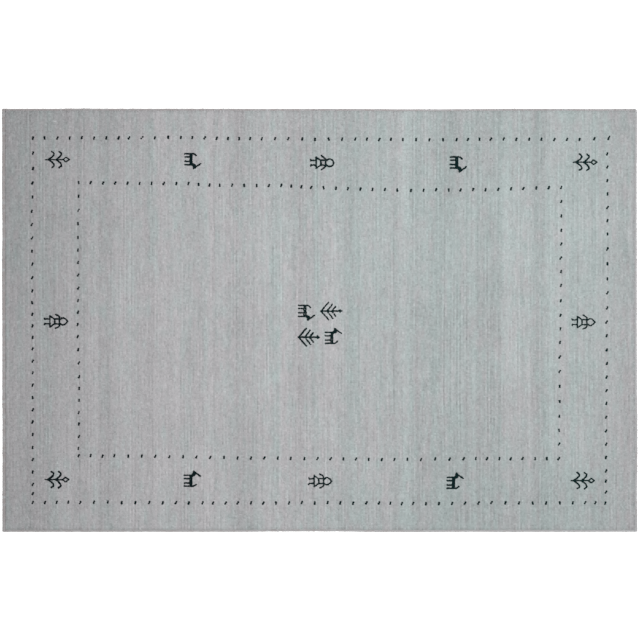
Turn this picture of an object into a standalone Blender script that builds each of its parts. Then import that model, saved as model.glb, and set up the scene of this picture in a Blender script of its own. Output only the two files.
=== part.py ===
"""A hand-knotted gabbeh rug, 1.80 m by 1.20 m, lying flat with its pile up.

The length runs along X, with the warps, and the width along Y, with the rows of knots.
The underside is at z = 0, and the origin is the middle of the rug's box there.
All sizes are in metres.
"""
import math
from collections import namedtuple

import bmesh
import bpy

# The whole rug
LENGTH = 1.800
WIDTH = 1.200
THICKNESS = 0.012
GAP = 0.0003

# The overcast bindings: how wide each one lies, and how high the wrapped edge stands
BAND_LEFT = 0.0100
BAND_RIGHT = 0.0080
BAND_FAR = 0.0070
BAND_NEAR = 0.0075
BINDING_HEIGHT = 0.0072
BINDING_WAIST = 0.45
BINDING_FOOT = 0.20
TOP_STEPS = 8
FOOT_STEPS = 3

# The rounding of the pile's upper edge
SHOULDER_RADIUS = 0.004
SHOULDER_STEPS = 4

# How many sections run along an edge and round a corner
LENGTH_SECTIONS = 40
WIDTH_SECTIONS = 26
CORNER_STEPS = 4
FIELD_CORNER_RADIUS = 0.004

# The plan radius of each corner, by the binding's side and the end's place in Y
CORNER_RADII = {
    ("left", "near"): 0.0030,
    ("left", "far"): 0.0025,
    ("right", "near"): 0.0040,
    ("right", "far"): 0.0070,
}

# The woven outline isn't straight. Each row gives a place along an edge, from its middle,
# and how far the edge is drawn in there from the rug's box.
Section = namedtuple("Section", "along drawn_in")

LEFT_EDGE = (
    Section(-0.550, 0.0013),
    Section(-0.410, 0.0016),
    Section(-0.280, 0.0016),
    Section(-0.210, 0.0007),
    Section(-0.140, 0.0010),
    Section(0.020, 0.0007),
    Section(0.165, 0.0001),
    Section(0.235, 0.0013),
    Section(0.380, 0.0001),
    Section(0.500, 0.0007),
    Section(0.575, 0.0000),
)
RIGHT_EDGE = (
    Section(-0.550, 0.0003),
    Section(-0.515, 0.0017),
    Section(-0.465, 0.0010),
    Section(-0.410, 0.0000),
    Section(-0.280, 0.0000),
    Section(-0.200, 0.0011),
    Section(-0.070, 0.0016),
    Section(0.200, 0.0016),
    Section(0.240, 0.0020),
    Section(0.400, 0.0020),
    Section(0.520, 0.0011),
)
FAR_EDGE = (
    Section(-0.760, 0.0011),
    Section(-0.680, 0.0000),
    Section(-0.620, 0.0007),
    Section(-0.280, 0.0007),
    Section(-0.170, 0.0013),
    Section(0.090, 0.0013),
    Section(0.230, 0.0023),
    Section(0.360, 0.0023),
    Section(0.455, 0.0016),
    Section(0.560, 0.0010),
    Section(0.680, 0.0010),
    Section(0.770, 0.0017),
    Section(0.860, 0.0013),
)
NEAR_EDGE = (
    Section(-0.230, 0.0004),
    Section(-0.090, 0.0018),
    Section(0.050, 0.0017),
    Section(0.140, 0.0003),
    Section(0.320, 0.0000),
    Section(0.410, 0.0007),
    Section(0.500, 0.0003),
    Section(0.780, 0.0003),
    Section(0.860, 0.0007),
)

# Base colour (linear) and roughness of each yarn
FIELD_WOOL = (0.407, 0.431, 0.436)
BINDING_WOOL = (0.352, 0.334, 0.334)
WOOL_ROUGHNESS = 0.95


def clear_scene():
    """Removes whatever the scene holds."""
    for scene_object in list(bpy.data.objects):
        bpy.data.objects.remove(scene_object, do_unlink=True)


def wool(name, color):
    """A plain matt wool material."""
    material = bpy.data.materials.new(name)
    material.use_nodes = True
    shader = material.node_tree.nodes["Principled BSDF"]
    shader.inputs["Base Color"].default_value = (*color, 1.0)
    shader.inputs["Roughness"].default_value = WOOL_ROUGHNESS
    shader.inputs["Metallic"].default_value = 0.0
    return material


def drawn_in(edge, along):
    """How far an edge is drawn in at a place along it, eased from one row to the next."""
    if along <= edge[0].along:
        return edge[0].drawn_in
    for before, after in zip(edge, edge[1:]):
        if along <= after.along:
            share = (along - before.along) / (after.along - before.along)
            eased = share * share * (3.0 - 2.0 * share)
            return before.drawn_in + eased * (after.drawn_in - before.drawn_in)
    return edge[-1].drawn_in


def edge_position(side, along):
    """Where the outline is: X on the left and right sides, Y on the near and far ones."""
    if side == "left":
        return -LENGTH / 2 + drawn_in(LEFT_EDGE, along)
    if side == "right":
        return LENGTH / 2 - drawn_in(RIGHT_EDGE, along)
    if side == "near":
        return -WIDTH / 2 + drawn_in(NEAR_EDGE, along)
    return WIDTH / 2 - drawn_in(FAR_EDGE, along)


def even_places(start, end, count):
    """Places from start to end, both included, with count steps between them."""
    return [start + (end - start) * i / count for i in range(count + 1)]


def binding_profile():
    """The wrapped edge in section, as (across, up) from 0 to 1: a flat foot and a round top."""
    points = []
    for i in range(TOP_STEPS + 1):
        angle = math.pi * i / TOP_STEPS
        across = 0.5 + 0.5 * math.cos(angle)
        up = BINDING_WAIST + (1.0 - BINDING_WAIST) * math.sin(angle)
        points.append((across, up))
    for foot_centre, start in ((BINDING_FOOT, math.pi), (1.0 - BINDING_FOOT, 1.5 * math.pi)):
        first = 1 if start == math.pi else 0
        last = FOOT_STEPS if start == math.pi else FOOT_STEPS - 1
        for i in range(first, last + 1):
            angle = start + 0.5 * math.pi * i / FOOT_STEPS
            across = foot_centre + BINDING_FOOT * math.cos(angle)
            up = BINDING_WAIST * (1.0 + math.sin(angle))
            points.append((across, up))
    return points


def add_object(name, bm, material):
    """Makes a named object of a closed bmesh, with its faces pointing out."""
    bmesh.ops.recalc_face_normals(bm, faces=bm.faces)
    mesh = bpy.data.meshes.new(name)
    bm.to_mesh(mesh)
    bm.free()
    mesh.materials.append(material)
    mesh.shade_smooth()
    mesh.set_sharp_from_angle(angle=math.radians(50.0))
    node = bpy.data.objects.new(name, mesh)
    bpy.context.scene.collection.objects.link(node)
    return node


def loft(rings):
    """Joins rings of equally many points into one closed skin, capped at both ends."""
    bm = bmesh.new()
    loops = [[bm.verts.new(point) for point in ring] for ring in rings]
    for lower, upper in zip(loops, loops[1:]):
        for i in range(len(lower)):
            after = (i + 1) % len(lower)
            bm.faces.new((lower[i], lower[after], upper[after], upper[i]))
    bm.faces.new(loops[0])
    bm.faces.new(loops[-1])
    return bm


def corner_places(start, inward, radius):
    """Places along an end binding through the rounding of a corner."""
    return [
        start + inward * radius * (1.0 - math.cos(0.5 * math.pi * i / CORNER_STEPS))
        for i in range(CORNER_STEPS)
    ]


def rounding(distance, radius):
    """How far a round corner draws the outline in, at a distance from its end."""
    if distance >= radius:
        return 0.0
    return radius - math.sqrt(max(0.0, radius**2 - (radius - distance) ** 2))


def end_binding(side, band, material):
    """The overcast edge over the warp ends, along Y and round both corners."""
    outward = -1.0 if side == "left" else 1.0
    corner_x = outward * LENGTH / 2
    near_y = edge_position("near", corner_x)
    far_y = edge_position("far", corner_x)
    near_radius = CORNER_RADII[(side, "near")]
    far_radius = CORNER_RADII[(side, "far")]
    places = corner_places(near_y, 1.0, near_radius)
    places += even_places(near_y + near_radius, far_y - far_radius, WIDTH_SECTIONS)
    places += reversed(corner_places(far_y, -1.0, far_radius))
    rings = []
    for y in places:
        edge_x = edge_position(side, y)
        cut = rounding(y - near_y, near_radius) + rounding(far_y - y, far_radius)
        wide = band - cut
        rings.append(
            [
                (edge_x - outward * (cut + wide * across), y, BINDING_HEIGHT * up)
                for across, up in binding_profile()
            ]
        )
    return add_object(f"end_binding_{side}", loft(rings), material)


def side_binding(side, band, material):
    """The overcast selvedge along X, from one end binding to the other."""
    outward = -1.0 if side == "near" else 1.0
    corner_y = outward * WIDTH / 2
    start = edge_position("left", corner_y) + BAND_LEFT + GAP
    end = edge_position("right", corner_y) - BAND_RIGHT - GAP
    rings = []
    for x in even_places(start, end, LENGTH_SECTIONS):
        edge_y = edge_position(side, x)
        rings.append(
            [
                (x, edge_y - outward * band * across, BINDING_HEIGHT * up)
                for across, up in binding_profile()
            ]
        )
    return add_object(f"side_binding_{side}", loft(rings), material)


def plan_corner(side_x, margin_x, side_y, margin_y):
    """Where two sides of the field meet in plan, drawn in by their margins."""
    outward_x = -1.0 if side_x == "left" else 1.0
    outward_y = -1.0 if side_y == "near" else 1.0
    x = edge_position(side_x, outward_y * WIDTH / 2) - outward_x * margin_x
    y = edge_position(side_y, outward_x * LENGTH / 2) - outward_y * margin_y
    return x, y


def corner_arc(corner, outward_x, outward_y, start_angle):
    """The round corner of the field, anticlockwise, without its two ends."""
    centre_x = corner[0] - outward_x * FIELD_CORNER_RADIUS
    centre_y = corner[1] - outward_y * FIELD_CORNER_RADIUS
    arc = []
    for i in range(1, CORNER_STEPS):
        angle = start_angle + 0.5 * math.pi * i / CORNER_STEPS
        x = centre_x + FIELD_CORNER_RADIUS * math.cos(angle)
        y = centre_y + FIELD_CORNER_RADIUS * math.sin(angle)
        arc.append((x, y))
    return arc


def field_ring(inset, height):
    """The field's outline in plan, anticlockwise, drawn in from the bindings, at one height."""
    left = BAND_LEFT + GAP + inset
    right = BAND_RIGHT + GAP + inset
    near = BAND_NEAR + GAP + inset
    far = BAND_FAR + GAP + inset
    radius = FIELD_CORNER_RADIUS
    near_left = plan_corner("left", left, "near", near)
    near_right = plan_corner("right", right, "near", near)
    far_right = plan_corner("right", right, "far", far)
    far_left = plan_corner("left", left, "far", far)
    plan = []
    for x in even_places(near_left[0] + radius, near_right[0] - radius, LENGTH_SECTIONS):
        plan.append((x, edge_position("near", x) + near))
    plan += corner_arc(near_right, 1.0, -1.0, -0.5 * math.pi)
    for y in even_places(near_right[1] + radius, far_right[1] - radius, WIDTH_SECTIONS):
        plan.append((edge_position("right", y) - right, y))
    plan += corner_arc(far_right, 1.0, 1.0, 0.0)
    for x in even_places(far_right[0] - radius, far_left[0] + radius, LENGTH_SECTIONS):
        plan.append((x, edge_position("far", x) - far))
    plan += corner_arc(far_left, -1.0, 1.0, 0.5 * math.pi)
    for y in even_places(far_left[1] - radius, near_left[1] + radius, WIDTH_SECTIONS):
        plan.append((edge_position("left", y) + left, y))
    plan += corner_arc(near_left, -1.0, -1.0, math.pi)
    return [(x, y, height) for x, y in plan]


def pile_field(material):
    """The knotted field: a flat slab whose pile rounds over at its upper edge."""
    rings = [field_ring(0.0, 0.0)]
    for i in range(SHOULDER_STEPS + 1):
        angle = 0.5 * math.pi * i / SHOULDER_STEPS
        inset = SHOULDER_RADIUS * (1.0 - math.cos(angle))
        height = THICKNESS - SHOULDER_RADIUS * (1.0 - math.sin(angle))
        rings.append(field_ring(inset, height))
    return add_object("pile_field", loft(rings), material)


def build_rug():
    """Makes the field and its four bindings."""
    clear_scene()
    pile_field(wool("field_wool", FIELD_WOOL))
    end_binding("left", BAND_LEFT, wool("left_binding_wool", BINDING_WOOL))
    end_binding("right", BAND_RIGHT, wool("right_binding_wool", BINDING_WOOL))
    side_binding("far", BAND_FAR, wool("far_binding_wool", BINDING_WOOL))
    side_binding("near", BAND_NEAR, wool("near_binding_wool", BINDING_WOOL))


build_rug()
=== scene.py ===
"""The looks of a hand-knotted gabbeh rug, 1.80 m by 1.20 m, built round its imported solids.

X runs along the rug's length, with the warps, and Y across it, along the rows of knots.
Sizes are in metres. Places in the charts are counted in knots: rows along X, columns along Y.
"""
import math
from collections import namedtuple

import bpy
import numpy as np
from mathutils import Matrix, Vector


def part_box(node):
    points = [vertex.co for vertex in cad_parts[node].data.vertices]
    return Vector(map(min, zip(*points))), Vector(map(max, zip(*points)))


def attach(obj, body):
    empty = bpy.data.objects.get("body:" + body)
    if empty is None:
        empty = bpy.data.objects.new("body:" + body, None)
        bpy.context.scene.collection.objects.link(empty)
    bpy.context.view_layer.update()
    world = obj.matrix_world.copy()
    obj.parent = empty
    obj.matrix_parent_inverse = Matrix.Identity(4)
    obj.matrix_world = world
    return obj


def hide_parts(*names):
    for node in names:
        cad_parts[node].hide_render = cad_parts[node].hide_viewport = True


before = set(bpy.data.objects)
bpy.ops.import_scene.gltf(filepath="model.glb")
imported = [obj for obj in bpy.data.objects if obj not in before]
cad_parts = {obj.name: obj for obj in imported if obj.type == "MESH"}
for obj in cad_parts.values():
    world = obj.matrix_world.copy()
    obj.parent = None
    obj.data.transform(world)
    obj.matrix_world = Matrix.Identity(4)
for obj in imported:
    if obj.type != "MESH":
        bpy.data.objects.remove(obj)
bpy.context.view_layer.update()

DYE_SEED = 20
PILE_SEED = 21
FIGURE_SEED = 22
DOT_SEED = 23
BINDING_SEED = 24
GAP = 0.0003

# Knots and pile
ROW_PITCH = 0.0045
COLUMN_PITCH = 0.0044
PILE_STRIPS = 6
GROOVE_DEPTH = 0.0011
TUFT_LEAN = 0.0003
TUFT_LEAN_SPREAD = 0.00050
TUFT_HEIGHT_SPREAD = 0.00028
CORNER_SPREAD = 0.00060
CORNER_RISE = 0.5
RIM_FREEDOM = 0.3
ROW_WANDER = 0.0007
ROW_WANDER_SPAN = (30.0, 35.0)
SHOULDER_RADIUS = 0.0030
FIELD_CORNER_PULL = 0.0012
PILE_FOOT = 0.0030
PILE_SPILL = 0.0013
PILE_SPILL_LEFT = 0.0007

# The map that each pile strip brings for baking: its lengths laid side by side, and their margin
MAP_FOLDS = 3
MAP_MARGIN = 0.01

# The foundation and the knots' backs under it
FOUNDATION_TOP = 0.0032
BACK_CREST = 0.0003
BACK_GROOVE = 0.0010
FOUNDATION_STATIONS = 13

# The overcast yarn round the edges
WRAP_PITCH = 0.0073
WRAP_STEPS = 6
WRAP_RELIEF = 0.0009
WRAP_RELIEF_MIDDLE = 0.62
WRAP_ROUNDNESS = 0.7
WRAP_SLANT = 0.35
WRAP_HEIGHT_SPREAD = 0.00025
SECTION_POINTS = 14
SECTION_WAIST = 0.45
SECTION_OUTER_BEND = 0.85
SECTION_INNER_BEND = 0.40

# The overcast edges: which way each lies and faces, and how deep its shade is from its one end
# to the other, by the share of the deeper yarn
Overcast = namedtuple("Overcast", "name node axis outward shade_start shade_end spread")
OVERCAST = (
    Overcast("left_overcast", "end_binding_left", 1, -1.0, 0.80, 0.90, 0.30),
    Overcast("right_overcast", "end_binding_right", 1, 1.0, 0.25, 0.25, 0.12),
    Overcast("near_overcast", "side_binding_near", 0, -1.0, 0.65, 0.10, 0.16),
    Overcast("far_overcast", "side_binding_far", 0, 1.0, 0.90, 0.45, 0.20),
)

# The photograph's frame
PHOTO_WIDTH = 1.8127
CAMERA_X = 0.0009
CAMERA_Y = 0.0006
CAMERA_LENS = 150.0
CAMERA_SENSOR = 36.0
CAMERA_TARGET_Z = 0.004

# Light and floor
FLOOR_SIZE = 40.0
FLOOR_DROP = 0.0002
FLOOR_GREY = 0.92
FLOOR_GLOW = 0.62
FLOOR_ROUGHNESS = 0.9
SKY_STRENGTH = 0.457

Light = namedtuple("Light", "name x y z aim_x aim_y wide long power")
LIGHTS = (
    Light("key", 0.30, 0.12, 1.8, 0.25, 0.07, 2.0, 2.0, 26.4),
)

# Linear colours of the yarns
PINK_GREY_WOOL = (0.456, 0.448, 0.460)
MINT_GREY_WOOL = (0.418, 0.474, 0.471)
DARK_WOOL = (0.0012, 0.0070, 0.0090)
DARK_WOOL_TEAL = (0.0012, 0.0155, 0.0153)
DARK_TIP_SHARE = 2.2
BINDING_WOOL_PALE = (0.500, 0.505, 0.515)
BINDING_WOOL_DEEP = (0.415, 0.385, 0.385)
WEFT_WOOL = (0.42, 0.40, 0.37)

# How fine the wool's detail is, as noise scales per metre, and how many finer layers each has
FIBRE_SCALE = 2600.0
FIBRE_DETAIL = 3.0
TUFT_SCALE = 620.0
TUFT_DETAIL = 2.0
CLOUD_SCALE = 9.0
TWIST_SCALE = 130.0
TWIST_DISTORTION = 1.5
BACK_STREAK_SCALE = 12.0

# The part of each noise's range that is used
FIBRE_SPREAD = (0.25, 0.75)
TUFT_SPREAD = (0.30, 0.70)
DARK_TIP_SPREAD = (0.50, 0.80)

# What the noise does to tone and roughness, from its lowest to its highest
FIELD_FIBRE_TONE = (0.78, 1.22)
FIELD_TUFT_TONE = (0.90, 1.10)
DARK_FIBRE_TONE = (0.80, 1.20)
BINDING_FIBRE_TONE = (0.90, 1.10)
BACK_FIBRE_TONE = (0.88, 1.08)
CLOUD_SHADE = (-0.25, 0.25)
PILE_ROUGHNESS = (0.82, 1.0)
YARN_ROUGHNESS = (0.85, 1.0)
WOOL_SPECULAR = 0.15

# The stretch of X over which the dark yarn turns to teal, and the wefts' share in a groove
DARK_DYE_REACH = (-0.8, 0.8)
WEFT_SHARE = 0.7

# The relief too fine for the mesh: how deep it is, and how strongly it shows
Relief = namedtuple("Relief", "depth strength")
TUFT_RELIEF = Relief(0.0010, 0.5)
PILE_FIBRE_RELIEF = Relief(0.0004, 0.6)
TWIST_RELIEF = Relief(0.0005, 0.5)
BINDING_FIBRE_RELIEF = Relief(0.0004, 0.5)
BACK_LOOP_RELIEF = Relief(0.0006, 0.8)
BACK_FIBRE_RELIEF = Relief(0.0003, 0.5)

# The knots' backs show as loops. A band texture turns 20 radians a metre at a scale of 1.
BACK_LOOPS_PER_KNOT = 2.0
BAND_RADIANS = 20.0
BACK_LOOP_DISTORTION = 1.0
BACK_LOOP_DETAIL_SCALE = 2.0

# How the tone of the field changes from knot to knot. Each layer takes a new random value
# every so many rows and columns, and shifts the lightness and the share of mint by it.
Layer = namedtuple("Layer", "rows columns light mint")
WHOLE_ROW = 2000.0
FIELD_LAYERS = (
    Layer(1.0, 1.0, 0.052, 0.00),
    Layer(1.0, 2.5, 0.026, 0.02),
    Layer(1.0, 10.0, 0.028, 0.06),
    Layer(2.4, 7.0, 0.000, 0.14),
    Layer(2.4, 120.0, 0.000, 0.05),
    Layer(3.5, 120.0, 0.000, 0.12),
    Layer(7.0, 120.0, 0.011, 0.02),
    Layer(14.0, 120.0, 0.015, 0.00),
    Layer(40.0, 22.0, 0.012, 0.02),
    Layer(1.0, WHOLE_ROW, 0.028, 0.00),
    Layer(7.0, WHOLE_ROW, 0.021, 0.03),
    Layer(14.0, WHOLE_ROW, 0.010, 0.04),
    Layer(12.0, 9.0, 0.000, 0.05),
    Layer(5.0, 2.5, 0.000, 0.025),
)

# Every second row is a shade off its neighbours, over patches of so many rows and columns
ALTERNATE_LAYERS = (
    Layer(3.0, 60.0, 0.018, 0.00),
    Layer(3.0, 7.0, 0.013, 0.00),
)

# The dye changes along the rug: places along X, the shift in lightness and the share of mint
Shade = namedtuple("Shade", "x light mint")
ABRASH = (
    Shade(-0.90, -0.04, 0.22),
    Shade(-0.75, -0.02, 0.26),
    Shade(-0.60, 0.02, 0.10),
    Shade(-0.35, 0.07, 0.22),
    Shade(-0.09, 0.02, 0.34),
    Shade(0.16, 0.03, 0.50),
    Shade(0.42, -0.06, 0.70),
    Shade(0.60, 0.01, 0.72),
    Shade(0.78, 0.04, 0.82),
    Shade(0.85, 0.03, 0.40),
    Shade(0.90, 0.03, 0.32),
)
ABRASH_ACROSS = 0.085
ABRASH_CORNERS = 0.055

# Single knots of another shade in the field
Fleck = namedtuple("Fleck", "x y light")
FLECKS = (
    Fleck(-0.7525, 0.5642, 0.45),
    Fleck(-0.7480, 0.5642, 0.30),
    Fleck(-0.2398, 0.1903, -0.25),
)

# The dotted frames. Along each side the dots between two rows of its table are evenly spaced.
Dot = namedtuple("Dot", "number x y")
DOTTED_SIDES = {
    "outer_far": (
        Dot(0, -0.812, 0.515),
        Dot(7, -0.569, 0.516),
        Dot(8, -0.539, 0.516),
        Dot(12, -0.393, 0.517),
        Dot(15, -0.292, 0.5155),
        Dot(19, -0.164, 0.5135),
        Dot(26, 0.101, 0.513),
        Dot(30, 0.235, 0.511),
        Dot(34, 0.387, 0.511),
        Dot(37, 0.485, 0.5125),
        Dot(44, 0.735, 0.511),
        Dot(46, 0.818, 0.5145),
    ),
    "outer_near": (
        Dot(0, -0.812, -0.515),
        Dot(4, -0.678, -0.515),
        Dot(9, -0.482, -0.5155),
        Dot(11, -0.407, -0.5165),
        Dot(13, -0.332, -0.517),
        Dot(14, -0.302, -0.517),
        Dot(19, -0.123, -0.517),
        Dot(27, 0.168, -0.517),
        Dot(30, 0.264, -0.519),
        Dot(36, 0.486, -0.517),
        Dot(41, 0.680, -0.517),
        Dot(43, 0.751, -0.517),
        Dot(45, 0.809, -0.517),
    ),
    "outer_left": (
        Dot(0, -0.812, 0.515),
        Dot(2, -0.812, 0.429),
        Dot(5, -0.814, 0.308),
        Dot(11, -0.814, 0.0825),
        Dot(16, -0.812, -0.081),
        Dot(21, -0.812, -0.2535),
        Dot(27, -0.812, -0.465),
        Dot(29, -0.812, -0.515),
    ),
    "outer_right": (
        Dot(0, 0.818, 0.5145),
        Dot(1, 0.814, 0.4715),
        Dot(7, 0.815, 0.2425),
        Dot(13, 0.813, -0.0055),
        Dot(18, 0.812, -0.199),
        Dot(24, 0.810, -0.4265),
        Dot(27, 0.809, -0.517),
    ),
    "inner_far": (
        Dot(0, -0.682, 0.389),
        Dot(9, -0.372, 0.386),
        Dot(12, -0.283, 0.382),
        Dot(17, -0.109, 0.381),
        Dot(20, -0.024, 0.376),
        Dot(27, 0.219, 0.368),
        Dot(28, 0.258, 0.3675),
        Dot(35, 0.505, 0.3705),
        Dot(40, 0.684, 0.376),
    ),
    "inner_near": (
        Dot(0, -0.682, -0.383),
        Dot(3, -0.581, -0.384),
        Dot(12, -0.232, -0.389),
        Dot(18, -0.006, -0.3915),
        Dot(21, 0.103, -0.3925),
        Dot(25, 0.248, -0.3945),
        Dot(29, 0.407, -0.3915),
        Dot(34, 0.575, -0.3915),
        Dot(37, 0.677, -0.391),
    ),
    "inner_left": (
        Dot(0, -0.682, 0.389),
        Dot(4, -0.684, 0.2345),
        Dot(9, -0.684, 0.056),
        Dot(12, -0.685, -0.046),
        Dot(15, -0.681, -0.159),
        Dot(21, -0.682, -0.363),
        Dot(22, -0.682, -0.383),
    ),
    "inner_right": (
        Dot(0, 0.684, 0.376),
        Dot(3, 0.683, 0.2545),
        Dot(7, 0.683, 0.098),
        Dot(9, 0.682, 0.0135),
        Dot(11, 0.680, -0.062),
        Dot(16, 0.678, -0.271),
        Dot(19, 0.677, -0.391),
    ),
}
DOT_TUFT_SIZES = {
    "outer_far": 0.0075,
    "outer_near": 0.0075,
    "outer_left": 0.0074,
    "outer_right": 0.0072,
    "inner_far": 0.0074,
    "inner_near": 0.0073,
    "inner_left": 0.0069,
    "inner_right": 0.0069,
}
DOT_KNOTS = 2
DOT_STEP = 0.0044
DOT_LEAN = 0.0014
DOT_LEAN_SPREAD = 0.0010
DOT_PLACE_SPREAD = 0.0005
LONG_DOT_END = (0.8205, 0.5205, 0.0062)

# The woven figures, charted in knots round their own middle: row, column.
# A figure stands with its feet towards -X and its head towards +X.
PLANT = {
    "stem": ((-7.0, 0.0), (3.9, 0.0)),
    "bud_one_side": ((3.9, 0.0), (5.7, 1.5), (7.7, 0.0)),
    "bud_other_side": ((3.9, 0.0), (5.7, -1.5), (7.7, 0.0)),
    "low_branch": ((-5.2, 0.2), (-3.2, 1.5), (-1.9, 2.9), (-1.7, 4.1), (-3.1, 5.1)),
    "low_branch_facing": ((-5.2, -0.2), (-3.2, -1.5), (-1.9, -2.9), (-1.7, -4.1), (-3.1, -5.1)),
    "high_branch": ((-0.2, 0.2), (1.5, 1.5), (2.7, 2.9), (2.9, 4.1), (1.5, 5.1)),
    "high_branch_facing": ((-0.2, -0.2), (1.5, -1.5), (2.7, -2.9), (2.9, -4.1), (1.5, -5.1)),
}
TREE = {
    "trunk": ((-5.6, 0.0), (5.4, 0.0)),
    "crown": ((5.5, 0.0), (7.3, 0.0)),
    "crown_width": ((6.3, -0.7), (6.3, 0.7)),
    "low_branch": ((-5.4, 0.3), (-3.6, 2.2), (-2.2, 4.2), (-0.8, 5.6)),
    "middle_branch": ((-1.7, 0.2), (0.2, 2.5), (1.5, 4.4)),
    "high_branch": ((1.4, 0.2), (3.5, 2.9)),
    "low_branch_facing": ((-5.4, -0.3), (-4.4, -1.4)),
    "low_branch_middle": ((-3.7, -2.2), (-2.8, -3.3)),
    "low_branch_end": ((-2.1, -4.1), (-0.8, -5.6)),
    "middle_branch_facing": ((-1.7, -0.2), (-1.1, -1.0)),
    "middle_branch_middle": ((-0.3, -1.9), (0.4, -2.8)),
    "middle_branch_end": ((1.0, -3.6), (1.7, -4.6)),
    "high_branch_facing": ((1.5, -0.3), (2.1, -1.1)),
    "high_branch_end": ((2.8, -2.0), (3.6, -3.1)),
}
GOAT = {
    "hind_leg_and_tail": ((-3.9, 4.4), (1.4, 4.5), (2.6, 4.0), (3.3, 3.3)),
    "second_leg": ((-3.9, 2.4), (-0.6, 2.4)),
    "third_leg": ((-4.0, -0.4), (-0.6, -0.4)),
    "front_leg": ((-3.9, -2.6), (-0.6, -2.6)),
    "belly": ((-0.5, 4.2), (-0.5, -2.7)),
    "back": ((0.5, 4.2), (0.5, -2.7)),
    "neck": ((0.5, -2.5), (2.9, -3.5)),
    "nape": ((1.0, -2.1), (2.6, -2.8)),
    "throat": ((0.8, -3.0), (2.2, -4.1)),
    "cheek": ((1.6, -4.5), (2.6, -3.6)),
    "snout_and_horn": ((1.8, -5.1), (3.1, -4.0), (5.9, -2.0)),
}
PERSON = {
    "leg": ((-6.9, 1.5), (-3.9, 1.5)),
    "other_leg": ((-6.9, -1.5), (-3.9, -1.5)),
    "foot": ((-7.1, 2.0), (-6.7, 1.4)),
    "other_foot": ((-7.1, -2.0), (-6.7, -1.4)),
    "hem": ((-3.7, -3.5), (-3.7, 3.5)),
    "skirt_side": ((-3.6, 3.5), (-1.1, 1.7)),
    "skirt_other_side": ((-3.6, -3.5), (-1.1, -1.7)),
    "waist": ((-0.8, -1.5), (-0.8, 1.5)),
    "trunk_side": ((-0.9, 1.6), (2.1, 1.6)),
    "trunk_other_side": ((-0.9, -1.6), (2.1, -1.6)),
    "shoulders": ((2.2, -2.8), (2.2, 2.8)),
    "arm": ((2.2, 2.8), (1.5, 3.7), (-0.1, 4.5)),
    "other_arm": ((2.2, -2.8), (1.5, -3.7), (-0.1, -4.4)),
    "head_side": ((2.8, 1.4), (3.8, 2.2), (5.0, 2.2), (6.3, 1.3), (7.3, 0.0)),
    "head_other_side": ((2.8, -1.4), (3.8, -2.2), (5.0, -2.2), (6.3, -1.3), (7.3, 0.0)),
}
ROUND_PERSON = {
    **PERSON,
    "belt": ((-0.5, -1.4), (-0.5, 1.4)),
    "shoulders": ((2.3, -1.7), (2.3, 1.7)),
    "arm": ((2.4, 2.2), (1.0, 3.5), (-0.3, 4.6)),
    "other_arm": ((2.4, -2.2), (1.0, -3.5), (-0.3, -4.4)),
    "head_side": ((2.8, 1.4), (3.7, 2.2), (4.9, 2.4), (6.1, 2.0), (7.1, 1.1), (7.4, 0.0)),
    "head_other_side": ((2.8, -1.4), (3.7, -2.2), (4.9, -2.4), (6.1, -2.0), (7.1, -1.1), (7.4, 0.0)),
}

# How the dark tufts stand in the pile, and how much thinner the thin strokes are
THIN_SHARE = 0.84
THIN_PARTS = ("stem", "bud_one_side", "bud_other_side")
DARK_TUFT_RISE = 0.0004
DARK_TUFT_ROOT = 0.0022
DARK_TUFT_STEP = 0.0031
DARK_TUFT_SPREAD = 0.0003
DARK_TUFT_SIZE_SPREAD = 0.10
DARK_TUFT_SIDES = 8
DARK_TUFT_RINGS = 3
DARK_BACK_HEIGHT = 0.0004
HIDDEN_SHARE = 0.45

# Where each figure is woven, and the size in plan of its tufts. turned is -1 where a figure is
# the mirror of its chart across Y.
Figure = namedtuple("Figure", "name chart tuft x y turned")
FIGURES = (
    Figure("plant_left_far", PLANT, 0.0063, -0.7437, 0.4545, 1),
    Figure("plant_right_far", PLANT, 0.0067, 0.7495, 0.4470, 1),
    Figure("plant_left_near", PLANT, 0.0070, -0.7452, -0.4510, 1),
    Figure("plant_right_near", PLANT, 0.0067, 0.7428, -0.4540, 1),
    Figure("goat_far_left", GOAT, 0.0064, -0.3642, 0.4515, 1),
    Figure("goat_far_right", GOAT, 0.0068, 0.3877, 0.4425, 1),
    Figure("goat_near_left", GOAT, 0.0064, -0.3645, -0.4500, -1),
    Figure("goat_near_right", GOAT, 0.0067, 0.3787, -0.4562, -1),
    Figure("person_far", ROUND_PERSON, 0.0065, 0.0066, 0.4455, 1),
    Figure("person_near", PERSON, 0.0060, 0.0009, -0.4555, 1),
    Figure("person_left", PERSON, 0.0064, -0.7465, -0.0034, 1),
    Figure("person_right", PERSON, 0.0057, 0.7460, -0.0054, 1),
    Figure("goat_middle_far", GOAT, 0.0059, -0.0416, 0.0223, 1),
    Figure("tree_middle_far", TREE, 0.0060, 0.0289, 0.0258, 1),
    Figure("tree_middle_near", TREE, 0.0067, -0.0342, -0.0481, 1),
    Figure("goat_middle_near", GOAT, 0.0061, 0.0346, -0.0459, -1),
)


def node_points(name):
    """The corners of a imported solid, as rows of x, y, z."""
    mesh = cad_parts[name].data
    points = np.empty(len(mesh.vertices) * 3, np.float32)
    mesh.vertices.foreach_get("co", points)
    return points.reshape(-1, 3).astype(float)


Edge = namedtuple("Edge", "along low high")


def read_edge(name, along_axis):
    """A binding's two sides in plan: at each place along it, its lowest and highest across."""
    points = node_points(name)
    along = np.round(points[:, along_axis], 4)
    across = points[:, 1 - along_axis]
    places = np.unique(along)
    low = np.array([across[along == place].min() for place in places])
    high = np.array([across[along == place].max() for place in places])
    return Edge(places, low, high)


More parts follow.
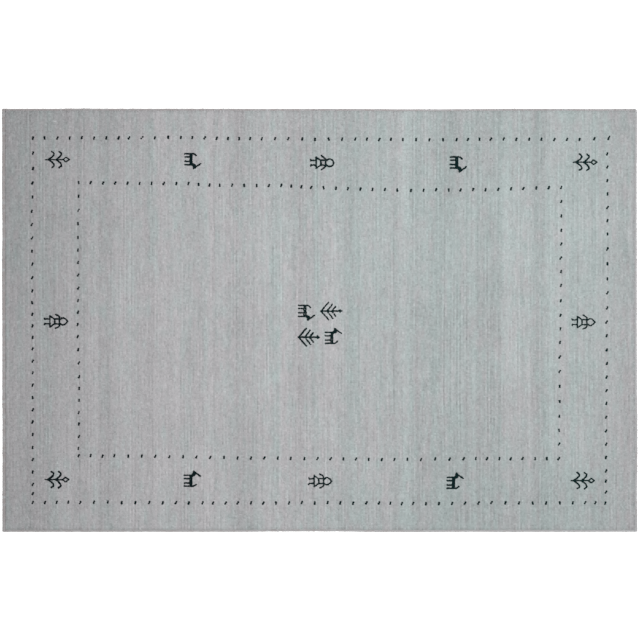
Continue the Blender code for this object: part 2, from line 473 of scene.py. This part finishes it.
LEFT = read_edge("end_binding_left", 1)
RIGHT = read_edge("end_binding_right", 1)
NEAR = read_edge("side_binding_near", 0)
FAR = read_edge("side_binding_far", 0)
FIELD_LOW, FIELD_HIGH = (np.array(corner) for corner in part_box("pile_field"))
PILE_TOP = FIELD_HIGH[2]


def field_sides(x, y):
    """The field's four sides: X of left and right at y, and Y of near and far at x."""
    left = np.interp(y, LEFT.along, LEFT.high) + GAP
    right = np.interp(y, RIGHT.along, RIGHT.low) - GAP
    near = np.interp(x, NEAR.along, NEAR.high) + GAP
    far = np.interp(x, FAR.along, FAR.low) - GAP
    return left, right, near, far


def field_plan(shares_x, shares_y):
    """X and Y over the field, by shares of its length and width, bent to its uneven outline."""
    u, v = np.meshgrid(shares_x, shares_y, indexing="ij")
    x = FIELD_LOW[0] + u * (FIELD_HIGH[0] - FIELD_LOW[0])
    y = FIELD_LOW[1] + v * (FIELD_HIGH[1] - FIELD_LOW[1])
    left, right, near, far = field_sides(x, y)
    return left + u * (right - left), near + v * (far - near)


def smooth_noise(random, shape, rows, columns):
    """Random values with a spread of 1 over a grid, a new one every so many rows and columns."""
    axes = []
    counts = []
    for length, period in zip(shape, (rows, columns)):
        offset = random.random() if period > 1.0 else 0.0
        places = np.arange(length) / period + offset
        axes.append(places)
        counts.append(int(places[-1]) + 2)
    coarse = random.standard_normal(counts)
    low_row = axes[0].astype(int)
    low_column = axes[1].astype(int)
    share_row = axes[0] - low_row
    share_column = axes[1] - low_column
    share_row = (share_row**2 * (3.0 - 2.0 * share_row))[:, None]
    share_column = (share_column**2 * (3.0 - 2.0 * share_column))[None, :]
    lower = coarse[low_row][:, low_column] * (1.0 - share_column)
    lower += coarse[low_row][:, low_column + 1] * share_column
    upper = coarse[low_row + 1][:, low_column] * (1.0 - share_column)
    upper += coarse[low_row + 1][:, low_column + 1] * share_column
    values = lower * (1.0 - share_row) + upper * share_row
    return values / values.std()


def add_mesh(name, points, faces):
    """A named piece of points and faces, which rides on the rug's one body."""
    mesh = bpy.data.meshes.new(name)
    mesh.from_pydata(points.tolist(), [], faces if isinstance(faces, list) else faces.tolist())
    mesh.update()
    mesh.shade_smooth()
    piece = bpy.data.objects.new(name, mesh)
    bpy.context.scene.collection.objects.link(piece)
    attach(piece, "root")
    return piece


def add_values(mesh, name, values, domain):
    """Keeps one number for each face or corner point of a mesh, for its material to read."""
    layer = mesh.attributes.new(name, "FLOAT", domain)
    layer.data.foreach_set("value", np.ascontiguousarray(values, np.float32))


# The materials


class Nodes:
    """A material's nodes, with short names for the few kinds used here."""

    def __init__(self, name):
        self.material = bpy.data.materials.new(name)
        self.material.use_nodes = True
        self.tree = self.material.node_tree
        self.shader = self.tree.nodes["Principled BSDF"]
        self.place = self.add("ShaderNodeTexCoord").outputs["Object"]

    def add(self, kind, **settings):
        node = self.tree.nodes.new(kind)
        for name, value in settings.items():
            setattr(node, name, value)
        return node

    def put(self, socket, value):
        if isinstance(value, bpy.types.NodeSocket):
            self.tree.links.new(value, socket)
        else:
            socket.default_value = value

    def attribute(self, name):
        return self.add("ShaderNodeAttribute", attribute_name=name).outputs["Fac"]

    def stretched(self, scale):
        node = self.add("ShaderNodeMapping")
        self.put(node.inputs["Vector"], self.place)
        node.inputs["Scale"].default_value = scale
        return node.outputs["Vector"]

    def noise(self, scale, detail, vector=None):
        node = self.add("ShaderNodeTexNoise")
        self.put(node.inputs["Vector"], vector if vector is not None else self.place)
        node.inputs["Scale"].default_value = scale
        node.inputs["Detail"].default_value = detail
        return node.outputs["Fac"]

    def bands(self, direction, scale, distortion, detail_scale=1.0):
        node = self.add("ShaderNodeTexWave", wave_type="BANDS", bands_direction=direction)
        self.put(node.inputs["Vector"], self.place)
        node.inputs["Scale"].default_value = scale
        node.inputs["Distortion"].default_value = distortion
        node.inputs["Detail Scale"].default_value = detail_scale
        return node.outputs["Fac"]

    def math(self, operation, first, second):
        node = self.add("ShaderNodeMath", operation=operation)
        self.put(node.inputs[0], first)
        self.put(node.inputs[1], second)
        return node.outputs["Value"]

    def ranged(self, value, to, within=(0.0, 1.0)):
        """Moves a value from one range, a low and a high, to another."""
        node = self.add("ShaderNodeMapRange")
        self.put(node.inputs["Value"], value)
        node.inputs["From Min"].default_value, node.inputs["From Max"].default_value = within
        node.inputs["To Min"].default_value, node.inputs["To Max"].default_value = to
        return node.outputs["Result"]

    def mix(self, share, first, second):
        node = self.add("ShaderNodeMix", data_type="RGBA")
        self.put(node.inputs["Factor"], share)
        for socket, color in ((node.inputs["A"], first), (node.inputs["B"], second)):
            self.put(socket, (*color, 1.0) if isinstance(color, tuple) else color)
        return node.outputs["Result"]

    def scaled(self, color, value):
        node = self.add("ShaderNodeVectorMath", operation="SCALE")
        self.put(node.inputs[0], color)
        self.put(node.inputs["Scale"], value)
        return node.outputs["Vector"]

    def bump(self, height, relief, below=None):
        node = self.add("ShaderNodeBump")
        self.put(node.inputs["Height"], height)
        node.inputs["Distance"].default_value = relief.depth
        node.inputs["Strength"].default_value = relief.strength
        if below is not None:
            self.put(node.inputs["Normal"], below)
        return node.outputs["Normal"]

    def finish(self, color, roughness, normal):
        self.put(self.shader.inputs["Base Color"], color)
        self.put(self.shader.inputs["Roughness"], roughness)
        self.put(self.shader.inputs["Normal"], normal)
        self.shader.inputs["Specular IOR Level"].default_value = WOOL_SPECULAR
        return self.material


def field_wool():
    """Cut wool pile: two dyed greys mixed knot by knot, with fibres in each tuft."""
    n = Nodes("field_wool")
    dyed = n.mix(n.attribute("mint"), PINK_GREY_WOOL, MINT_GREY_WOOL)
    fibres = n.noise(FIBRE_SCALE, FIBRE_DETAIL)
    tufts = n.noise(TUFT_SCALE, TUFT_DETAIL)
    tone = n.math("ADD", n.attribute("light"), n.ranged(fibres, FIELD_FIBRE_TONE, FIBRE_SPREAD))
    tone = n.math("MULTIPLY", tone, n.ranged(tufts, FIELD_TUFT_TONE, TUFT_SPREAD))
    normal = n.bump(tufts, TUFT_RELIEF)
    normal = n.bump(fibres, PILE_FIBRE_RELIEF, normal)
    return n.finish(n.scaled(dyed, tone), n.ranged(fibres, PILE_ROUGHNESS), normal)


def dark_wool():
    """The figures' and dots' yarn: near black, with more teal towards +X and paler worn tips."""
    n = Nodes("dark_wool")
    fibres = n.noise(FIBRE_SCALE, FIBRE_DETAIL)
    tufts = n.noise(TUFT_SCALE, TUFT_DETAIL)
    place = n.add("ShaderNodeSeparateXYZ")
    n.put(place.inputs["Vector"], n.place)
    teal = n.ranged(place.outputs["X"], (0.0, 1.0), DARK_DYE_REACH)
    dyed = n.mix(teal, DARK_WOOL, DARK_WOOL_TEAL)
    worn = n.ranged(tufts, (1.0, DARK_TIP_SHARE), DARK_TIP_SPREAD)
    tone = n.math("MULTIPLY", worn, n.ranged(fibres, DARK_FIBRE_TONE))
    normal = n.bump(fibres, PILE_FIBRE_RELIEF)
    return n.finish(n.scaled(dyed, tone), n.ranged(fibres, YARN_ROUGHNESS), normal)


def binding_wool():
    """Plied yarn wrapped over the edge: pinkish grey, with the plies' twist across each turn."""
    n = Nodes("binding_wool")
    slow = n.noise(CLOUD_SCALE, TUFT_DETAIL)
    fibres = n.noise(FIBRE_SCALE, FIBRE_DETAIL)
    share = n.math("ADD", n.attribute("turn"), n.ranged(slow, CLOUD_SHADE))
    dyed = n.mix(share, BINDING_WOOL_PALE, BINDING_WOOL_DEEP)
    color = n.scaled(dyed, n.ranged(fibres, BINDING_FIBRE_TONE))
    twist = n.bands("DIAGONAL", TWIST_SCALE, TWIST_DISTORTION)
    normal = n.bump(twist, TWIST_RELIEF)
    normal = n.bump(fibres, BINDING_FIBRE_RELIEF, normal)
    return n.finish(color, n.ranged(fibres, YARN_ROUGHNESS), normal)


def foundation_wool():
    """The underside: rows of knot backs with the wefts between them."""
    n = Nodes("foundation_wool")
    fibres = n.noise(FIBRE_SCALE, FIBRE_DETAIL)
    rows = n.noise(1.0, TUFT_DETAIL, n.stretched((1.0 / ROW_PITCH, BACK_STREAK_SCALE, 1.0)))
    dyed = n.mix(n.ranged(rows, (0.0, 1.0), TUFT_SPREAD), PINK_GREY_WOOL, MINT_GREY_WOOL)
    color = n.mix(n.ranged(n.attribute("groove"), (0.0, WEFT_SHARE)), dyed, WEFT_WOOL)
    color = n.scaled(color, n.ranged(fibres, BACK_FIBRE_TONE))
    loop_scale = 2.0 * math.pi * BACK_LOOPS_PER_KNOT / (BAND_RADIANS * COLUMN_PITCH)
    loops = n.bands("Y", loop_scale, BACK_LOOP_DISTORTION, BACK_LOOP_DETAIL_SCALE)
    normal = n.bump(loops, BACK_LOOP_RELIEF)
    normal = n.bump(fibres, BACK_FIBRE_RELIEF, normal)
    return n.finish(color, n.ranged(fibres, YARN_ROUGHNESS), normal)


# The field's pile


def shoulder_drop(depth):
    """How far the pile's surface lies below its top, at a depth in from the field's side."""
    inward = np.clip(depth / SHOULDER_RADIUS, 0.0, 1.0)
    return SHOULDER_RADIUS * (1.0 - np.sqrt(1.0 - (1.0 - inward) ** 2))


def field_tones(rows, columns, x, y):
    """Lightness and share of mint for each knot."""
    random = np.random.default_rng(DYE_SEED)
    shape = (rows, columns)
    wide = FIELD_HIGH[1] - FIELD_LOW[1]
    places = [shade.x for shade in ABRASH]
    light = np.interp(x, places, [shade.light for shade in ABRASH])
    mint = np.interp(x, places, [shade.mint for shade in ABRASH])
    mint += ABRASH_ACROSS * np.sin(2.0 * math.pi * y / wide)
    light += ABRASH_CORNERS * x * y / (FIELD_HIGH[0] * FIELD_HIGH[1])
    for layer in FIELD_LAYERS:
        light += layer.light * smooth_noise(random, shape, layer.rows, layer.columns)
        mint += layer.mint * smooth_noise(random, shape, layer.rows, layer.columns)
    every_second = 1.0 - 2.0 * (np.arange(rows) % 2)[:, None]
    for layer in ALTERNATE_LAYERS:
        patches = smooth_noise(random, shape, layer.rows, layer.columns)
        light += layer.light * every_second * patches
    for fleck in FLECKS:
        row, column = np.unravel_index(
            np.argmin((x - fleck.x) ** 2 + (y - fleck.y) ** 2), x.shape
        )
        light[row, column] += fleck.light
    return light, np.clip(mint, 0.0, 1.0)


def mean_of_corners(values):
    """The mean of the four corners round each knot."""
    return (values[1:, 1:] + values[:-1, 1:] + values[1:, :-1] + values[:-1, :-1]) / 4.0


def knot_grid():
    """The pile's surface: shared corners between the knots, and a tip for each knot."""
    random = np.random.default_rng(PILE_SEED)
    long = FIELD_HIGH[0] - FIELD_LOW[0]
    wide = FIELD_HIGH[1] - FIELD_LOW[1]
    rows = round(long / ROW_PITCH)
    columns = round(wide / COLUMN_PITCH)
    u = np.arange(rows + 1) / rows
    v = np.arange(columns + 1) / columns
    x, y = field_plan(u, v)
    inside = np.sin(math.pi * u)[:, None] * np.sin(math.pi * v)[None, :]
    x = x + ROW_WANDER * np.sqrt(inside) * smooth_noise(random, x.shape, *ROW_WANDER_SPAN)
    depth_x = np.minimum(u, 1.0 - u)[:, None] * long
    depth_y = np.minimum(v, 1.0 - v)[None, :] * wide
    depth = np.minimum(depth_x, depth_y)
    tip_x = mean_of_corners(x)
    tip_y = mean_of_corners(y)
    light, mint = field_tones(rows, columns, tip_x, tip_y)
    lean = TUFT_LEAN_SPREAD * random.standard_normal((2, rows, columns))
    rise = TUFT_HEIGHT_SPREAD * random.standard_normal((rows, columns))
    tip_z = PILE_TOP - shoulder_drop(mean_of_corners(depth)) + rise
    tips = np.stack([tip_x - TUFT_LEAN + lean[0], tip_y + lean[1], tip_z], axis=-1)
    freedom = np.ones_like(x)
    freedom[[0, -1], :] = RIM_FREEDOM
    freedom[:, [0, -1]] = RIM_FREEDOM
    spread = CORNER_SPREAD * random.standard_normal((3, *x.shape))
    corner_z = PILE_TOP - GROOVE_DEPTH - shoulder_drop(depth) + CORNER_RISE * spread[2]
    corners = np.stack([x + freedom * spread[0], y + freedom * spread[1], corner_z], axis=-1)
    for row, sign_x in ((0, 1.0), (-1, -1.0)):
        for column, sign_y in ((0, 1.0), (-1, -1.0)):
            corners[row, column, 0] += sign_x * FIELD_CORNER_PULL
            corners[row, column, 1] += sign_y * FIELD_CORNER_PULL
    feet = corners.copy()
    feet[..., 2] = PILE_FOOT
    corners[0, :, 0] -= PILE_SPILL_LEFT
    corners[-1, :, 0] += PILE_SPILL
    corners[:, 0, 1] -= PILE_SPILL
    corners[:, -1, 1] += PILE_SPILL
    return corners, feet, tips, light, mint


def hide_under_figures(tips, covered, sizes):
    """Lowers the tips of the grey knots whose place a dark tuft takes."""
    for (x, y), size in zip(covered, sizes):
        reach = HIDDEN_SHARE * size
        row = np.abs(tips[:, 0, 0] - x).argmin()
        column = np.abs(tips[0, :, 1] - y).argmin()
        rows = slice(max(row - 2, 0), row + 3)
        columns = slice(max(column - 2, 0), column + 3)
        near = tips[rows, columns]
        hidden = np.hypot(near[..., 0] - x, near[..., 1] - y) < reach
        near[..., 2][hidden] = PILE_TOP - GROOVE_DEPTH
    return tips


def knot_faces(rows, wide):
    """The four faces of every knot of a strip, and the numbers of its corners and tips."""
    corner_count = (rows + 1) * (wide + 1)
    corner = np.arange(corner_count).reshape(rows + 1, wide + 1)
    tip = corner_count + np.arange(rows * wide).reshape(rows, wide)
    a, b = corner[:-1, :-1], corner[1:, :-1]
    c, d = corner[1:, 1:], corner[:-1, 1:]
    quarters = [np.stack([p, q, tip], axis=-1) for p, q in ((a, b), (b, c), (c, d), (d, a))]
    return np.stack(quarters, axis=2).reshape(-1, 3).tolist(), corner


def strip_rims(number, rows, wide, corner):
    """The sides of a strip that are sides of the rug too: corners, their knots, and which way
    each side faces."""
    knot = np.arange(rows * wide).reshape(rows, wide)
    rims = [
        (corner[0, ::-1], knot[0, ::-1], (-1.0, 0.0)),
        (corner[-1, :], knot[-1, :], (1.0, 0.0)),
    ]
    if number == 0:
        rims.append((corner[:, 0], knot[:, 0], (0.0, -1.0)))
    if number == PILE_STRIPS - 1:
        rims.append((corner[::-1, -1], knot[::-1, -1], (0.0, 1.0)))
    return rims


def strip_walls(rims, first_foot, strip_feet):
    """The faces from a strip's outer sides down to their feet, with each face's knot, the feet
    and the way each foot faces."""
    foot_of = {}
    points = []
    outward = []
    faces = []
    owners = []
    for rim, knots, facing in rims:
        for vertex in rim:
            if vertex not in foot_of:
                foot_of[vertex] = first_foot + len(points)
                points.append(strip_feet[vertex])
                outward.append(np.zeros(2))
            outward[foot_of[vertex] - first_foot] += facing
        for upper, after, knot in zip(rim, rim[1:], knots):
            faces.append([after, upper, foot_of[upper], foot_of[after]])
            owners.append(knot)
    return faces, owners, np.array(points), np.array(outward)


def fold_for_baking(mesh, plan, face_row, rows):
    """Lays the strip out flat in a few lengths side by side, so that a map of it is finer."""
    loop_total = np.empty(len(mesh.polygons), np.int32)
    mesh.polygons.foreach_get("loop_total", loop_total)
    loop_vertex = np.empty(len(mesh.loops), np.int32)
    mesh.loops.foreach_get("vertex_index", loop_vertex)
    fold = np.repeat(face_row * MAP_FOLDS // rows, loop_total)
    flat = plan[loop_vertex]
    low_y, high_y = plan[:, 1].min(), plan[:, 1].max()
    places = np.empty((len(loop_vertex), 2))
    for number in range(MAP_FOLDS):
        inside = fold == number
        low_x, high_x = flat[inside, 0].min(), flat[inside, 0].max()
        along = (flat[inside, 0] - low_x) / (high_x - low_x)
        across = (flat[inside, 1] - low_y) / (high_y - low_y)
        places[inside, 0] = MAP_MARGIN + along * (1.0 - 2.0 * MAP_MARGIN)
        places[inside, 1] = (number + MAP_MARGIN + across * (1.0 - 2.0 * MAP_MARGIN)) / MAP_FOLDS
    layer = mesh.uv_layers.new(name="OFBake")
    layer.data.foreach_set("uv", np.ascontiguousarray(places.reshape(-1), np.float32))


def pile_strip(number, corners, feet, tips, light, mint, material):
    """One lengthwise strip of the pile: four faces to a knot, and the side walls it reaches."""
    rows, columns = tips.shape[:2]
    first = round(number * columns / PILE_STRIPS)
    last = round((number + 1) * columns / PILE_STRIPS)
    wide = last - first
    faces, corner = knot_faces(rows, wide)
    strip_corners = corners[:, first : last + 1].reshape(-1, 3)
    strip_feet = feet[:, first : last + 1].reshape(-1, 3)
    top = np.concatenate([strip_corners, tips[:, first:last].reshape(-1, 3)])
    rims = strip_rims(number, rows, wide, corner)
    walls, wall_knots, foot_points, outward = strip_walls(rims, len(top), strip_feet)
    knot = np.concatenate([np.repeat(np.arange(rows * wide), 4), wall_knots])
    points = np.concatenate([top, foot_points])
    piece = add_mesh(f"pile_strip_{number + 1}", points, faces + walls)
    mesh = piece.data
    ends = np.empty(len(mesh.edges) * 2, np.int32)
    mesh.edges.foreach_get("vertices", ends)
    between_knots = (ends.reshape(-1, 2) < corner.size).all(axis=1)
    sharp = mesh.attributes.new("sharp_edge", "BOOLEAN", "EDGE")
    sharp.data.foreach_set("value", between_knots)
    add_values(mesh, "light", light[:, first:last].reshape(-1)[knot], "FACE")
    add_values(mesh, "mint", mint[:, first:last].reshape(-1)[knot], "FACE")
    plan = np.concatenate([top[:, :2], foot_points[:, :2] + PILE_TOP * outward])
    fold_for_baking(mesh, plan, knot // wide, rows)
    mesh.materials.append(material)
    return piece


# The figures and dots


def along_stroke(stroke, figure):
    """Places along one stroke of a figure, a tuft apart, in metres."""
    points = np.array(stroke) * (ROW_PITCH, figure.turned * COLUMN_PITCH)
    points = points + (figure.x, figure.y)
    steps = np.hypot(*np.diff(points, axis=0).T)
    travelled = np.concatenate([[0.0], np.cumsum(steps)])
    count = max(1, round(travelled[-1] / DARK_TUFT_STEP))
    places = np.linspace(0.0, travelled[-1], count + 1)
    return np.stack([np.interp(places, travelled, points[:, k]) for k in (0, 1)], axis=1)


def figure_tufts():
    """The place and size of every tuft of every figure."""
    random = np.random.default_rng(FIGURE_SEED)
    places = []
    sizes = []
    for figure in FIGURES:
        for part, stroke in figure.chart.items():
            tufts = along_stroke(stroke, figure)
            size = figure.tuft * (THIN_SHARE if part in THIN_PARTS else 1.0)
            places.append(tufts + DARK_TUFT_SPREAD * random.standard_normal(tufts.shape))
            sizes.append(np.full(len(tufts), size))
    return np.concatenate(places), np.concatenate(sizes)


def dot_places():
    """Each dot of the two frames: its middle and tuft size. Two sides share a corner dot."""
    places = []
    for side, table in DOTTED_SIDES.items():
        numbers = np.arange(table[0].number, table[-1].number + 1)
        known = [row.number for row in table]
        x = np.interp(numbers, known, [row.x for row in table])
        y = np.interp(numbers, known, [row.y for row in table])
        places += [(*place, DOT_TUFT_SIZES[side]) for place in zip(x, y)]
    kept = []
    for x, y, size in places:
        if all(math.hypot(x - a, y - b) > ROW_PITCH for a, b, _ in kept):
            kept.append((x, y, size))
    return kept


def dot_tufts(places):
    """Two tufts to a dot, one above the other in the row, mostly leaning the same way."""
    random = np.random.default_rng(DOT_SEED)
    tufts = [LONG_DOT_END]
    for x, y, size in places:
        shift = DOT_PLACE_SPREAD * random.standard_normal(2)
        lean = DOT_LEAN + DOT_LEAN_SPREAD * random.standard_normal()
        for knot in range(DOT_KNOTS):
            side = knot / (DOT_KNOTS - 1) - 0.5
            tufts.append((x + shift[0] + side * lean, y + shift[1] + side * DOT_STEP, size))
    return np.array(tufts)


def tuft_cap(rings, sides):
    """A round cap of radius 1 and height 1, standing on its rim: points and faces."""
    points = [(0.0, 0.0, 1.0)]
    for ring in range(1, rings + 1):
        angle = 0.5 * math.pi * ring / rings
        for side in range(sides):
            turn = 2.0 * math.pi * side / sides
            points.append(
                (math.sin(angle) * math.cos(turn), math.sin(angle) * math.sin(turn), math.cos(angle))
            )
    faces = [[0, 1 + side, 1 + (side + 1) % sides] for side in range(sides)]
    for ring in range(rings - 1):
        upper = 1 + ring * sides
        lower = upper + sides
        for side in range(sides):
            after = (side + 1) % sides
            faces.append([upper + side, lower + side, lower + after, upper + after])
    return np.array(points), faces


def dark_tufts(name, places, sizes, base, height, flip, material):
    """Joined caps of dark yarn at these places, each a little different."""
    random = np.random.default_rng(FIGURE_SEED)
    cap_points, cap_faces = tuft_cap(DARK_TUFT_RINGS, DARK_TUFT_SIDES)
    points = []
    faces = []
    for (x, y), wide in zip(places, sizes):
        size = 0.5 * wide * (1.0 + DARK_TUFT_SIZE_SPREAD * random.standard_normal(2))
        turn = 2.0 * math.pi * random.random()
        cap = cap_points * (size[0], size[1], height)
        turned = np.stack(
            [
                cap[:, 0] * math.cos(turn) - cap[:, 1] * math.sin(turn),
                cap[:, 0] * math.sin(turn) + cap[:, 1] * math.cos(turn),
                cap[:, 2],
            ],
            axis=1,
        )
        start = len(points) * len(cap_points)
        points.append(turned + (x, y, base))
        for face in cap_faces:
            face = [start + index for index in face]
            faces.append(face[::-1] if flip else face)
    piece = add_mesh(name, np.concatenate(points), faces)
    piece.data.materials.append(material)
    return piece


# The foundation


def foundation(material):
    """The woven ground under the pile, a closed thin slab with a ridge under each row of knots."""
    rows = round((FIELD_HIGH[0] - FIELD_LOW[0]) / ROW_PITCH)
    shares_x = np.arange(2 * rows + 1) / (2 * rows)
    shares_y = np.linspace(0.0, 1.0, FOUNDATION_STATIONS)
    x, y = field_plan(shares_x, shares_y)
    is_groove = (np.arange(2 * rows + 1) % 2 == 0).astype(float)
    under_z = BACK_CREST + (BACK_GROOVE - BACK_CREST) * is_groove
    under = np.stack([x, y, np.broadcast_to(under_z[:, None], x.shape)], axis=-1)
    over = np.stack([x, y, np.full_like(x, FOUNDATION_TOP)], axis=-1)
    points = np.concatenate([under.reshape(-1, 3), over.reshape(-1, 3)])
    index = np.arange(x.size).reshape(x.shape)
    lifted = index + x.size
    a, b, c, d = index[:-1, :-1], index[1:, :-1], index[1:, 1:], index[:-1, 1:]
    faces = [np.stack([a, d, c, b], axis=-1).reshape(-1, 4)]
    faces.append(np.stack([a, b, c, d], axis=-1).reshape(-1, 4) + x.size)
    for low, high in (
        (index[:, 0], lifted[:, 0]),
        (index[-1, :], lifted[-1, :]),
        (index[::-1, -1], lifted[::-1, -1]),
        (index[0, ::-1], lifted[0, ::-1]),
    ):
        faces.append(np.stack([low[:-1], low[1:], high[1:], high[:-1]], axis=-1))
    piece = add_mesh("foundation", points, np.concatenate(faces))
    groove = np.concatenate([np.repeat(is_groove, x.shape[1])] * 2)
    add_values(piece.data, "groove", groove, "POINT")
    piece.data.materials.append(material)
    return piece


# The overcast bindings


def section_ring():
    """The wrapped edge in section, as shares across and up: round outside, squarer inside."""
    points = []
    for i in range(SECTION_POINTS):
        turn = 2.0 * math.pi * i / SECTION_POINTS
        bend = SECTION_OUTER_BEND if math.cos(turn) >= 0.0 else SECTION_INNER_BEND
        across = math.copysign(abs(math.cos(turn)) ** bend, math.cos(turn))
        rise = abs(math.sin(turn)) ** bend
        if math.sin(turn) >= 0.0:
            up = SECTION_WAIST + (1.0 - SECTION_WAIST) * rise
        else:
            up = SECTION_WAIST * (1.0 - rise)
        points.append((0.5 + 0.5 * across, up))
    return np.array(points)


def binding_points(row, edge, turns, random):
    """Rings of points along a binding, swollen where a turn of yarn crosses them."""
    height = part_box(row.node)[1][2]
    places = np.linspace(edge.along[0], edge.along[-1], turns * WRAP_STEPS + 1)
    outer = np.interp(places, edge.along, edge.low if row.outward < 0 else edge.high)
    inner = np.interp(places, edge.along, edge.high if row.outward < 0 else edge.low)
    ring = section_ring()
    around = np.arange(SECTION_POINTS) / SECTION_POINTS
    turn_height = 1.0 + WRAP_HEIGHT_SPREAD / WRAP_RELIEF * random.standard_normal(turns + 3)
    slant = WRAP_SLANT * np.sin(math.pi * around)[None, :]
    position = (places - places[0])[:, None] / WRAP_PITCH + slant
    swell = np.abs(np.sin(math.pi * position)) ** WRAP_ROUNDNESS
    swell = swell * turn_height[position.astype(int)]
    relief = WRAP_RELIEF * (swell - WRAP_RELIEF_MIDDLE)
    middle = 0.5 * (outer + inner)
    half = 0.5 * np.abs(outer - inner)
    side = (2.0 * ring[:, 0] - 1.0)[None, :]
    across = middle[:, None] + row.outward * side * (half[:, None] + relief)
    upper_part = np.clip(2.0 * (ring[:, 1] - SECTION_WAIST), 0.0, 1.0)[None, :]
    up = height * ring[:, 1][None, :] + relief * upper_part
    along = np.broadcast_to(places[:, None], across.shape)
    order = (across, along) if row.axis == 1 else (along, across)
    return np.stack([order[0], order[1], np.maximum(up, 0.0)], axis=-1)


def binding_faces(stations, flipped):
    """The skin round the rings of points, and then a cap on each end."""
    index = np.arange(stations * SECTION_POINTS).reshape(stations, SECTION_POINTS)
    following = np.roll(index, -1, axis=1)
    quads = np.stack([index[:-1], following[:-1], following[1:], index[1:]], axis=-1).reshape(-1, 4)
    caps = [index[0, ::-1].tolist(), index[-1].tolist()]
    if flipped:
        return quads[:, ::-1].tolist() + [cap[::-1] for cap in caps]
    return quads.tolist() + caps


def binding(row, edge, material):
    """A cord edge with its yarn turns: a closed skin that swells and narrows turn by turn."""
    random = np.random.default_rng(BINDING_SEED)
    turns = round((edge.along[-1] - edge.along[0]) / WRAP_PITCH)
    points = binding_points(row, edge, turns, random)
    stations = len(points)
    flipped = (row.axis == 0) != (row.outward < 0)
    piece = add_mesh(row.name, points.reshape(-1, 3), binding_faces(stations, flipped))
    shade = np.linspace(row.shade_start, row.shade_end, turns + 1)
    shade += row.spread * random.standard_normal(turns + 1)
    face_turn = np.repeat(np.arange(stations - 1) // WRAP_STEPS, SECTION_POINTS)
    values = np.concatenate([shade[face_turn], [row.shade_start, row.shade_end]])
    add_values(piece.data, "turn", np.clip(values, 0.0, 1.0), "FACE")
    piece.data.materials.append(material)
    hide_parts(row.node)
    return piece


# The studio


def studio():
    """A pale floor, an even sky, the lamps, and the camera straight above the rug."""
    scene = bpy.context.scene
    scene.view_settings.view_transform = "Standard"
    half = 0.5 * FLOOR_SIZE
    corners = [(x * half, y * half, -FLOOR_DROP) for x, y in ((-1, -1), (1, -1), (1, 1), (-1, 1))]
    mesh = bpy.data.meshes.new("floor")
    mesh.from_pydata(corners, [], [[0, 1, 2, 3]])
    floor = bpy.data.objects.new("floor", mesh)
    scene.collection.objects.link(floor)
    pale = bpy.data.materials.new("floor")
    pale.use_nodes = True
    shader = pale.node_tree.nodes["Principled BSDF"]
    shader.inputs["Base Color"].default_value = (FLOOR_GREY, FLOOR_GREY, FLOOR_GREY, 1.0)
    shader.inputs["Roughness"].default_value = FLOOR_ROUGHNESS
    shader.inputs["Specular IOR Level"].default_value = 0.0
    shader.inputs["Emission Color"].default_value = (1.0, 1.0, 1.0, 1.0)
    shader.inputs["Emission Strength"].default_value = FLOOR_GLOW
    mesh.materials.append(pale)

    world = bpy.data.worlds.new("sky")
    world.use_nodes = True
    sky = world.node_tree.nodes["Background"]
    sky.inputs["Color"].default_value = (1.0, 1.0, 1.0, 1.0)
    sky.inputs["Strength"].default_value = SKY_STRENGTH
    scene.world = world

    for row in LIGHTS:
        lamp = bpy.data.lights.new(row.name, "AREA")
        lamp.shape = "RECTANGLE"
        lamp.size = row.wide
        lamp.size_y = row.long
        lamp.energy = row.power
        holder = bpy.data.objects.new(row.name, lamp)
        holder.location = (row.x, row.y, row.z)
        aim = Vector((row.aim_x, row.aim_y, 0.0)) - holder.location
        holder.rotation_euler = aim.to_track_quat("-Z", "Y").to_euler()
        holder.visible_camera = False
        scene.collection.objects.link(holder)

    lens = bpy.data.cameras.new("camera")
    lens.lens = CAMERA_LENS
    lens.sensor_width = CAMERA_SENSOR
    lens.sensor_fit = "HORIZONTAL"
    camera = bpy.data.objects.new("camera", lens)
    distance = PHOTO_WIDTH * CAMERA_LENS / CAMERA_SENSOR
    camera.location = (CAMERA_X, CAMERA_Y, CAMERA_TARGET_Z + distance)
    scene.collection.objects.link(camera)
    scene.camera = camera


def build():
    """Makes the pieces, and hides the imported solids of the pile and the bindings."""
    studio()
    field = field_wool()
    dark = dark_wool()

    figure_places, figure_sizes = figure_tufts()
    dot_rows = dot_tufts(dot_places())
    dots, dot_sizes = dot_rows[:, :2], dot_rows[:, 2]

    corners, feet, tips, light, mint = knot_grid()
    covered = np.concatenate([figure_places, dots])
    tips = hide_under_figures(tips, covered, np.concatenate([figure_sizes, dot_sizes]))
    strips = [
        pile_strip(number, corners, feet, tips, light, mint, field)
        for number in range(PILE_STRIPS)
    ]
    base = PILE_TOP - DARK_TUFT_ROOT
    rise = DARK_TUFT_ROOT + DARK_TUFT_RISE
    figures = dark_tufts("figure_tufts", figure_places, figure_sizes, base, rise, False, dark)
    dotted = dark_tufts("dot_tufts", dots, dot_sizes, base, rise, False, dark)
    ground = foundation(foundation_wool())
    under = BACK_CREST + DARK_BACK_HEIGHT
    depth = -DARK_BACK_HEIGHT
    figure_backs = dark_tufts(
        "figure_backs", figure_places, figure_sizes, under, depth, True, dark
    )
    dot_backs = dark_tufts("dot_backs", dots, dot_sizes, under, depth, True, dark)

    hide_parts("pile_field")
    for strip in strips:
        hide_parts("pile_field")

    yarn = binding_wool()
    edges = (LEFT, RIGHT, NEAR, FAR)
    bindings = [binding(row, edge, yarn) for row, edge in zip(OVERCAST, edges)]


build()
